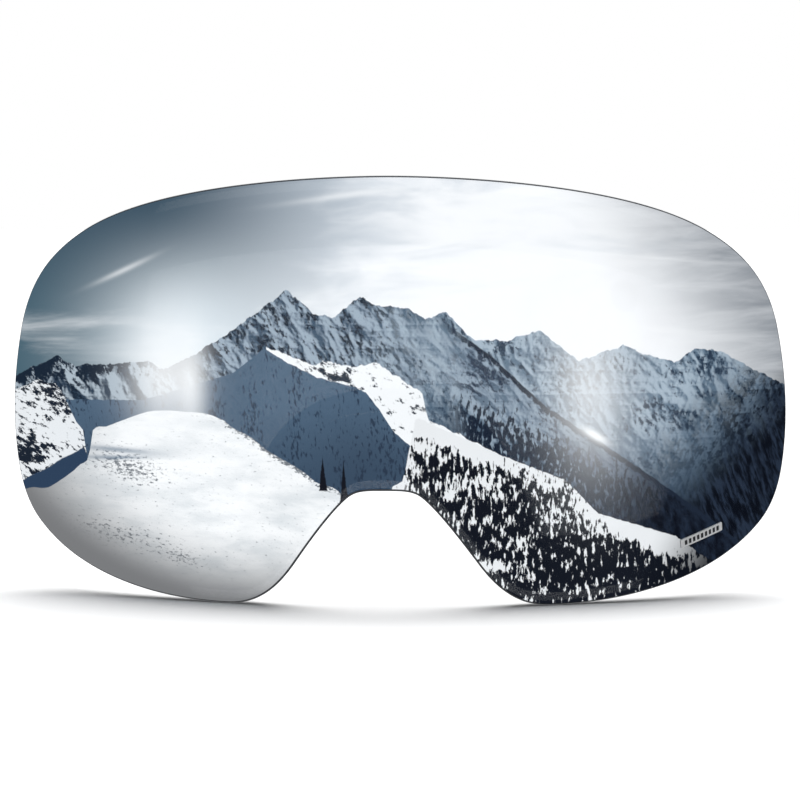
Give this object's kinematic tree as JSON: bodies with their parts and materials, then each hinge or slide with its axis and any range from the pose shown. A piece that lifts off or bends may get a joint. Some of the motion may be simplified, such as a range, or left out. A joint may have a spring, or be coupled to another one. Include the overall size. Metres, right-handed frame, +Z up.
{
  "type": "ski goggle lens unit",
  "caption": "Silver-mirrored, doubly curved quick-change ski goggle lens with a nose notch, a spaced inner lens and a magnetic ring behind its edge.",
  "frame": {"origin": "middle of the whole unit's bounding box", "axes": "+Z up towards the brow; the mirrored face looks towards -Y and the wearer's face is on the +Y side; +X is the wearer's left"},
  "size_m": [0.1836, 0.0512, 0.0976],
  "materials": {
    "mirror_lens": "silver mirror coating on 2 mm polycarbonate, polished, with a dark edge",
    "badge_foil": "satin printed foil",
    "bond_tape": "black acrylic foam tape",
    "carrier_nylon": "black glass-filled nylon, fine spark-eroded texture",
    "magnet_nickel": "nickel plate",
    "transfer_tape": "clear acrylic transfer tape",
    "gasket_foam": "black closed-cell foam, skived",
    "inner_lens_clear": "clear acetate, gloss, anti-fog side towards the face",
    "membrane": "white porous membrane"
  },
  "bodies": {
    "root": {"outer_lens": "mirror_lens", "corner_badge": "badge_foil", "carrier_bond_tape": "bond_tape", "magnet_carrier": "carrier_nylon", "magnet_brow_inner_left": "magnet_nickel", "magnet_brow_inner_right": "magnet_nickel", "magnet_brow_outer_left": "magnet_nickel", "magnet_brow_outer_right": "magnet_nickel", "magnet_temple_upper_left": "magnet_nickel", "magnet_temple_upper_right": "magnet_nickel", "magnet_temple_lower_left": "magnet_nickel", "magnet_temple_lower_right": "magnet_nickel", "magnet_cheek_left": "magnet_nickel", "magnet_cheek_right": "magnet_nickel", "magnet_nose_left": "magnet_nickel", "magnet_nose_right": "magnet_nickel", "gasket_front_tape": "transfer_tape", "spacer_gasket": "gasket_foam", "gasket_rear_tape": "transfer_tape", "inner_lens": "inner_lens_clear", "vent_adhesive_ring": "transfer_tape", "vent_membrane": "membrane"}
  },
  "joints": []
}
